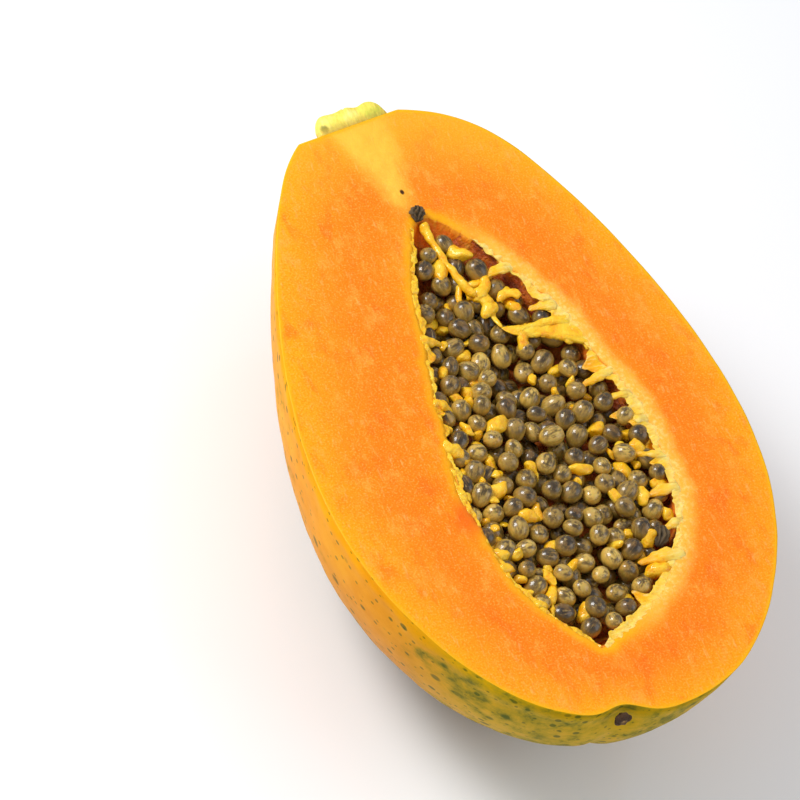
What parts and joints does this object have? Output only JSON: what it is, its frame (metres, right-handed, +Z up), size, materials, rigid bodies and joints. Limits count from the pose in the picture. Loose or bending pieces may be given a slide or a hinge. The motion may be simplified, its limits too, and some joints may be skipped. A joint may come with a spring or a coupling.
{
  "type": "papaya",
  "caption": "Half of a ripe papaya, cut lengthwise and lying on its rind, with thick orange flesh around a pointed cavity of dark seeds.",
  "frame": {"origin": "middle of the underside of the whole thing, on the surface it rests on", "axes": "+Y along the fruit to the stem end, +X across the fruit, +Z up out of the cut face"},
  "size_m": [0.118, 0.1837, 0.059],
  "materials": {
    "flesh": "moist orange flesh with a fine grain, in a yellow rind mottled with green",
    "stem": "yellow-green fruit stalk, dry and slightly ribbed",
    "scar": "dry dark brown flower scar",
    "seed_bed": "wet seeds packed in yellow pulp",
    "seeds": "olive-grey seeds in a clear wet coat",
    "dark_seeds": "shrivelled black seeds, wrinkled and dull"
  },
  "bodies": {
    "root": {"flesh_and_rind": "flesh", "stem_stub": "stem", "blossom_scar": "scar", "seed_bed": "seed_bed", "dark_seed_side": "dark_seeds", "dark_seed_tip": "dark_seeds", "seed_01": "seeds", "seed_02": "seeds", "seed_03": "seeds", "seed_04": "seeds", "seed_05": "seeds", "seed_06": "seeds", "seed_07": "seeds", "seed_08": "seeds", "seed_09": "seeds", "seed_10": "seeds", "seed_11": "seeds", "seed_12": "seeds", "seed_13": "seeds", "seed_14": "seeds", "seed_15": "seeds", "seed_16": "seeds", "seed_17": "seeds", "seed_18": "seeds", "seed_19": "seeds", "seed_20": "seeds", "seed_21": "seeds", "seed_22": "seeds", "seed_23": "seeds", "seed_24": "seeds", "seed_25": "seeds", "seed_26": "seeds", "seed_27": "seeds", "seed_28": "seeds", "seed_29": "seeds", "seed_30": "seeds", "seed_31": "seeds", "seed_32": "seeds", "seed_33": "seeds", "seed_34": "seeds", "seed_35": "seeds", "seed_36": "seeds", "seed_37": "seeds", "seed_38": "seeds", "seed_39": "seeds", "seed_40": "seeds", "seed_41": "seeds", "seed_42": "seeds", "seed_43": "seeds", "seed_44": "seeds", "seed_45": "seeds", "seed_46": "seeds", "seed_47": "seeds", "seed_48": "seeds", "seed_49": "seeds"}
  },
  "joints": []
}
